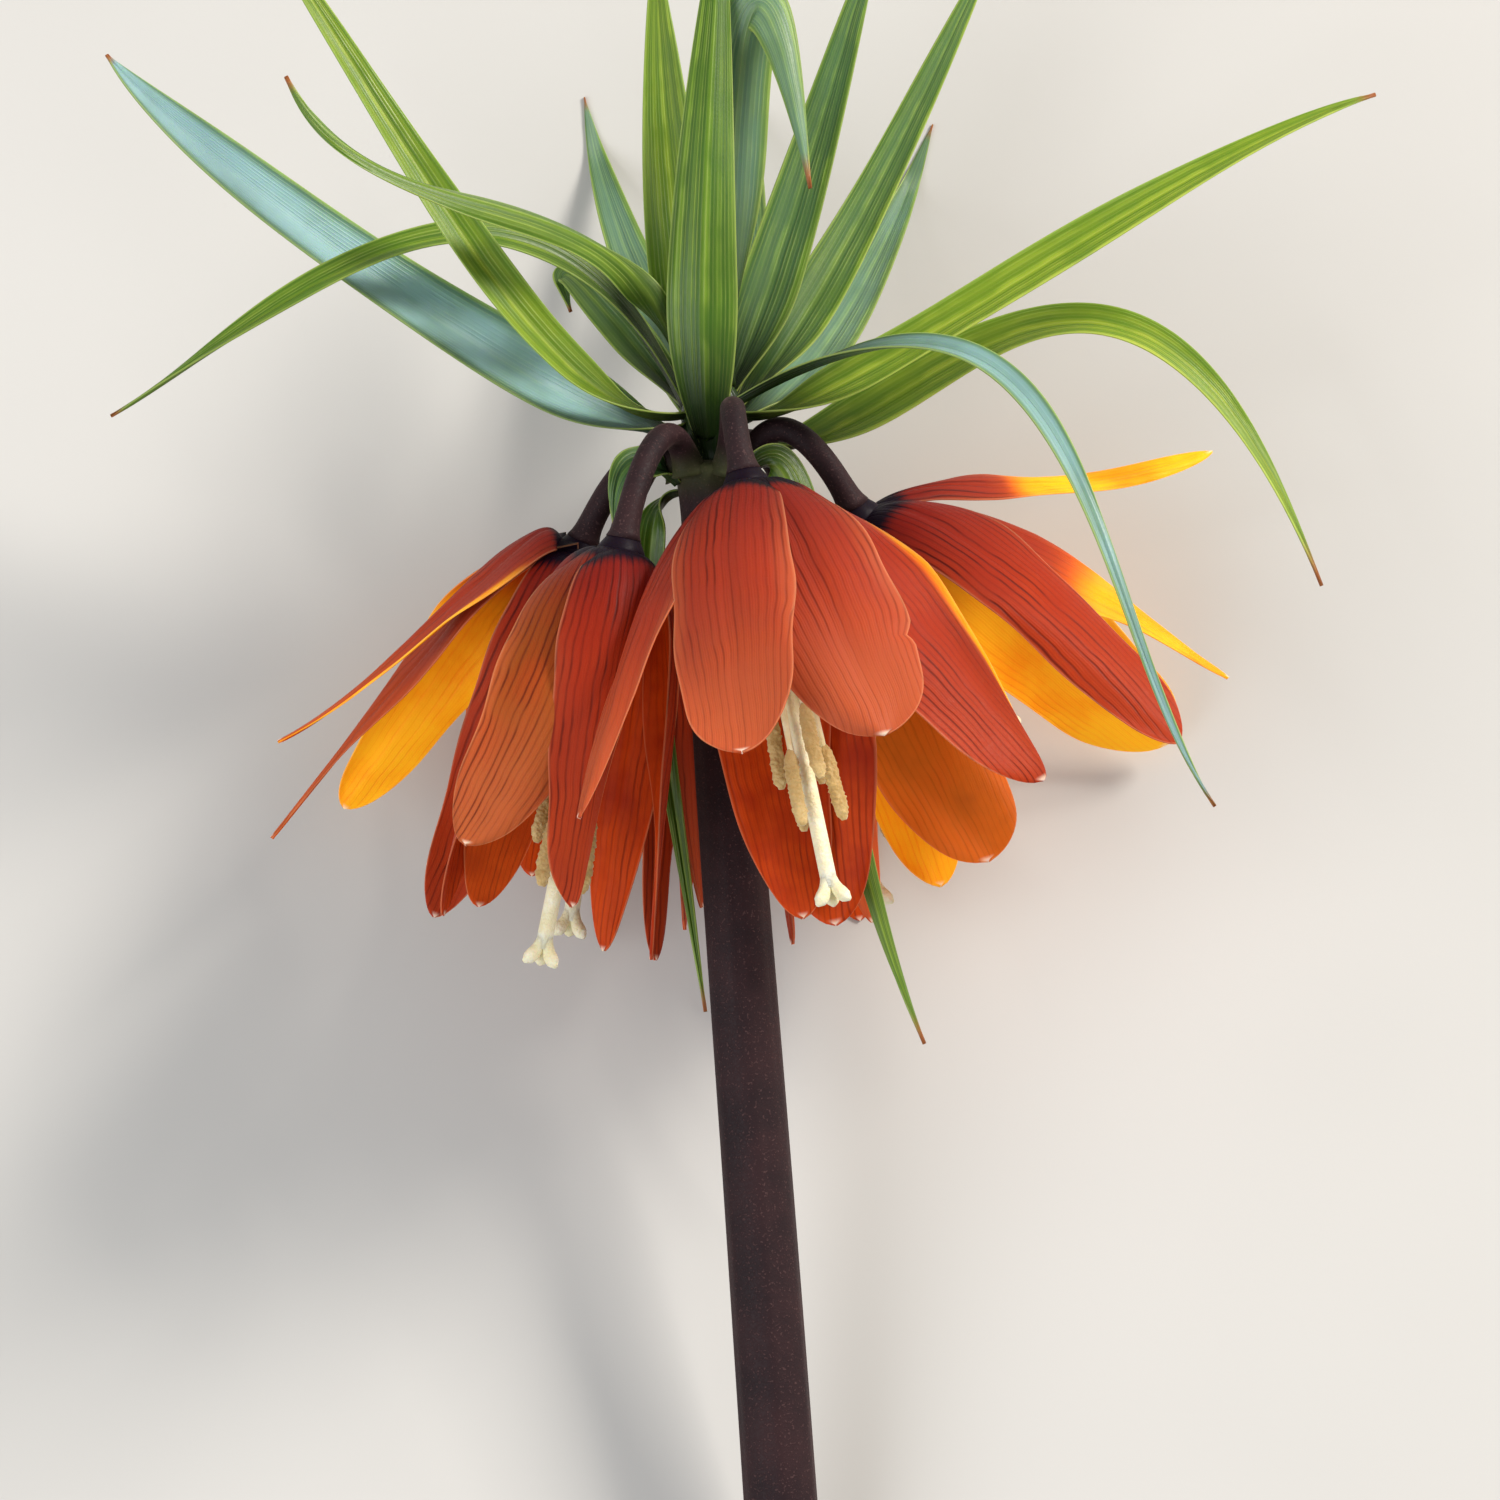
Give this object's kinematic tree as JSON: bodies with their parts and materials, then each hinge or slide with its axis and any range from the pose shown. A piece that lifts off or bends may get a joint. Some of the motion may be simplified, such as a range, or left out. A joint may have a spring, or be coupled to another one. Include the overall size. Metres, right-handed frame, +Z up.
{
  "type": "crown imperial fritillary",
  "caption": "Cut crown imperial stem lying down: a ring of hanging orange bells on arched stalks under a crown of long strap leaves.",
  "frame": {"origin": "centre of the bounding box, on the surface that the stem lies on", "axes": "+Z up from the surface, +Y along the stem from its cut end to the crown of leaves, +X to the right seen from above"},
  "size_m": [0.1764, 0.2621, 0.0848],
  "materials": {
    "stem": "dark purple-brown skin, velvety, with fine pale specks",
    "leaf": "fresh green strap leaf with parallel veins and a waxy bloom",
    "tepal": "satin brick orange with dark parallel veins outside, bright orange inside",
    "stamen": "ivory threads and style, mealy cream anthers"
  },
  "bodies": {
    "root": {"stem": "stem", "crown_core": "leaf", "petals_front": "tepal", "petals_front_left": "tepal", "petals_left": "tepal", "petals_right": "tepal", "petals_back_right": "tepal", "petals_back_left": "tepal", "stamens_front": "stamen", "stamens_front_left": "stamen", "stamens_left": "stamen", "stamens_right": "stamen", "stamens_back_right": "stamen", "stamens_back_left": "stamen", "stalk_front": "stem", "stalk_front_left": "stem", "stalk_left": "stem", "stalk_right": "stem", "stalk_back_right": "stem", "stalk_back_left": "stem", "leaf_left_broad": "leaf", "leaf_left_rising": "leaf", "leaf_left_front": "leaf", "leaf_left_low": "leaf", "leaf_curled": "leaf", "leaf_upright_front": "leaf", "leaf_upright_back": "leaf", "leaf_upright_right": "leaf", "leaf_tucked": "leaf", "leaf_right_steep": "leaf", "leaf_right_long": "leaf", "leaf_right_arched": "leaf", "leaf_draped": "leaf", "leaf_hung_right": "leaf", "leaf_hung_left": "leaf", "leaf_bract_left": "leaf", "leaf_back_left": "leaf", "leaf_back_middle": "leaf", "leaf_back_right": "leaf"}
  },
  "joints": []
}
